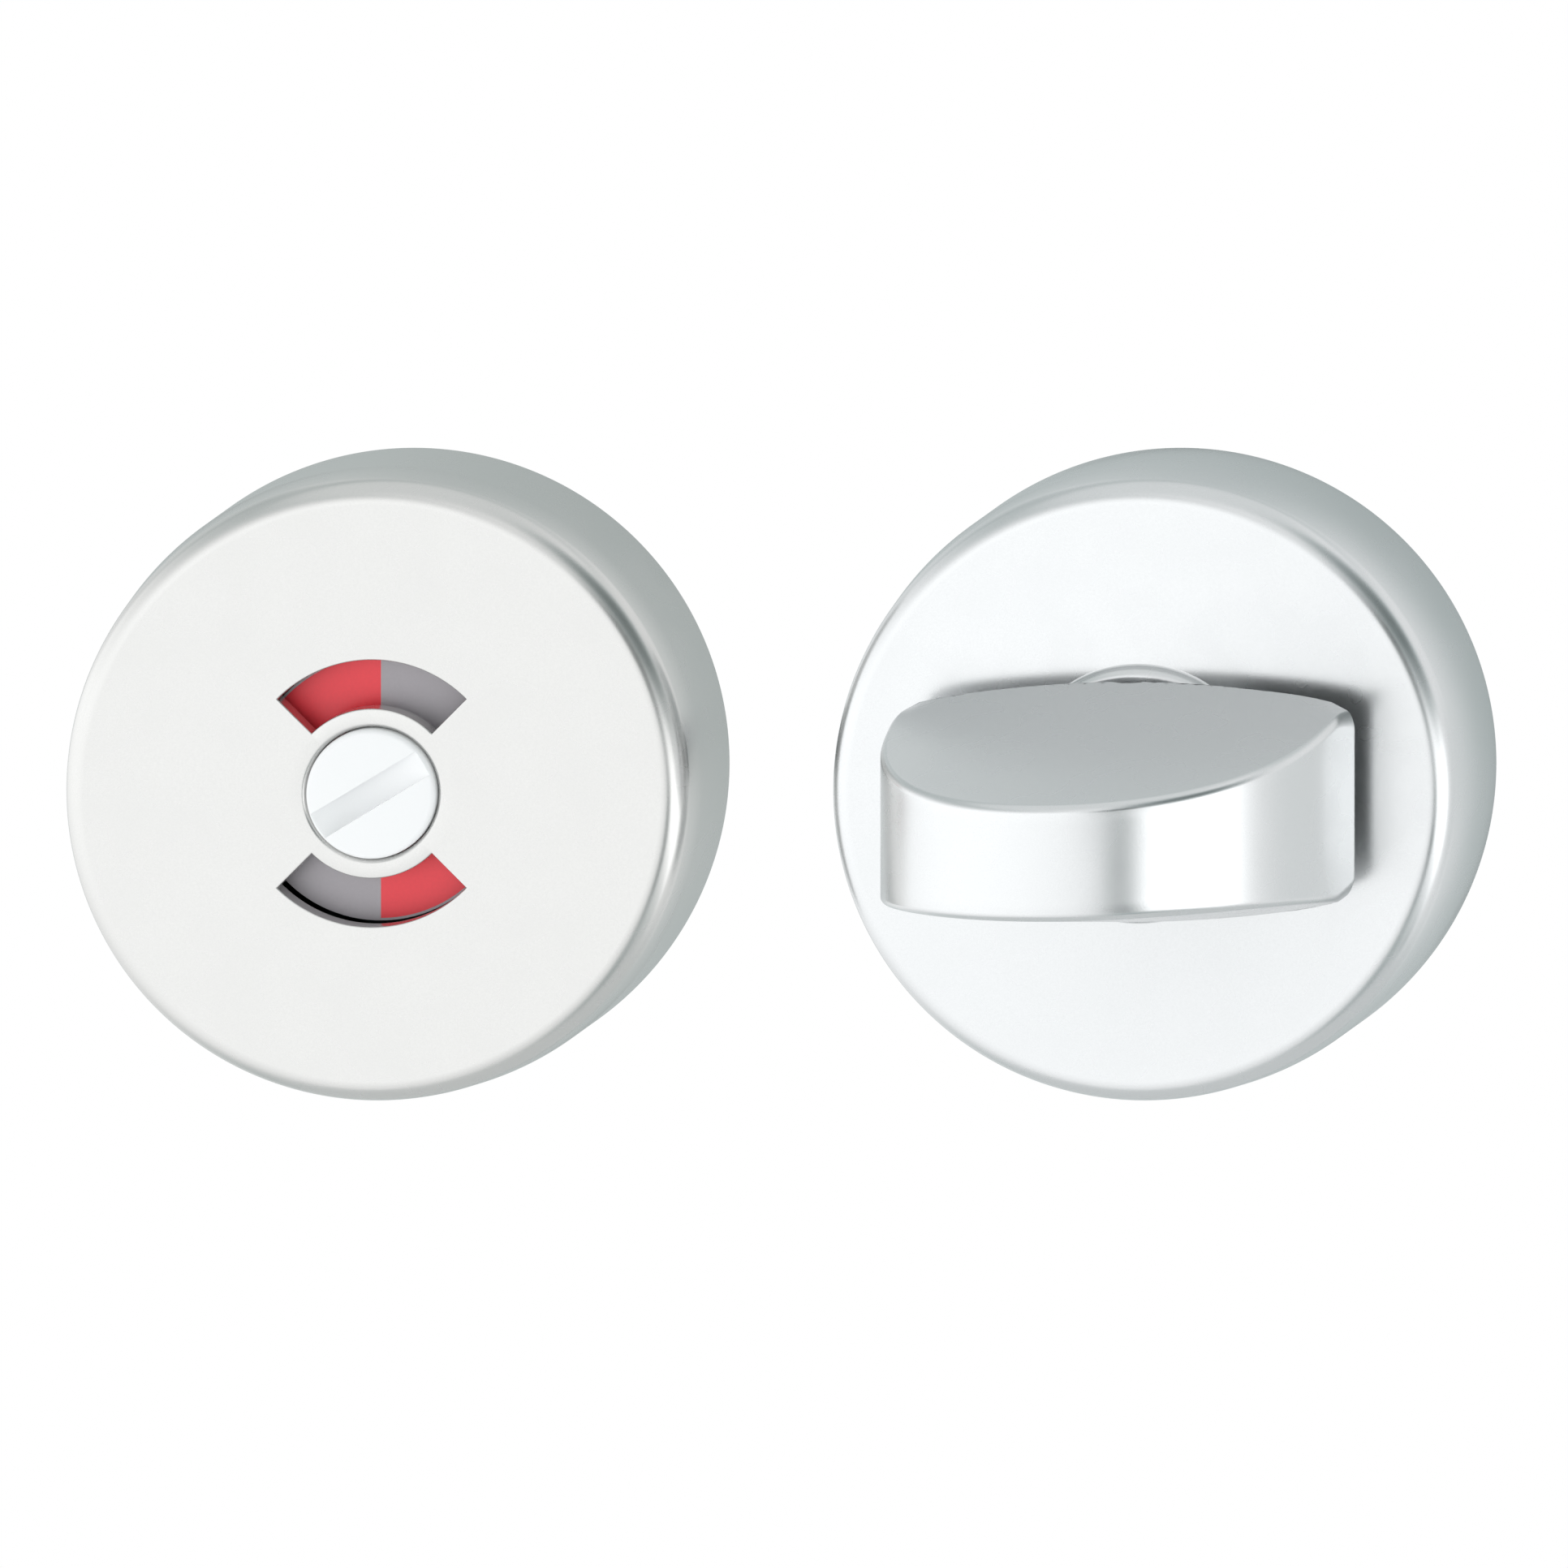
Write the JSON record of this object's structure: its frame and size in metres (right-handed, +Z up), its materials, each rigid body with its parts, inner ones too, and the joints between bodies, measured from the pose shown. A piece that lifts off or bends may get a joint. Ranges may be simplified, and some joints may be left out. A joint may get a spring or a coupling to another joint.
{
  "type": "bathroom thumb turn lock set",
  "caption": "Bathroom lock set: a round aluminium rose with a wedge-shaped thumb turn, and a round release rose with a coin-slot button and red and grey indicator windows.",
  "frame": {"origin": "the thumb turn's axis where it crosses the door face that its rose lies on", "axes": "+Z up along the door face, -Y out of the door toward the person who turns, +X to that person's right; the release rose stands at -X beside it, as in the picture"},
  "size_m": [0.1152, 0.077, 0.052],
  "materials": {
    "satin_aluminium": "satin anodised",
    "white_plastic": "smooth white",
    "indicator_grey": "matt grey",
    "indicator_red": "matt red",
    "nylon": "dark nylon",
    "bearing_nylon": "natural nylon",
    "steel": "zinc plated",
    "spring_steel": "dark spring steel",
    "cast_zinc": "raw die-cast zinc",
    "insert_brass": "plain brass"
  },
  "bodies": {
    "roses": {"turn_cover": "satin_aluminium", "turn_bush": "bearing_nylon", "turn_base": "nylon", "turn_lug_sleeves": "steel", "release_cover": "satin_aluminium", "release_base": "nylon", "release_lug_inserts": "insert_brass", "release_washer": "steel"},
    "turn": {"thumb_turn": "satin_aluminium", "turn_wave_washer": "spring_steel", "turn_washer": "steel", "turn_circlip": "spring_steel", "turn_spindle": "steel", "spindle_pin": "steel"},
    "release": {"release_button": "white_plastic", "release_follower": "cast_zinc", "indicator_disc": "indicator_grey", "indicator_red_fields": "indicator_red", "release_wave_washer": "spring_steel", "release_circlip": "spring_steel"}
  },
  "joints": [
    {"name": "turn_spin", "type": "hinge", "parent": "roses", "child": "turn", "pos_m": [0, 0, 0], "axis": [0, -1, 0], "range_deg": [0, 90]},
    {"name": "release_spin", "type": "hinge", "parent": "roses", "child": "release", "pos_m": [-0.0632, 0, 0], "axis": [0, -1, 0], "range_deg": [-45, 45]}
  ]
}
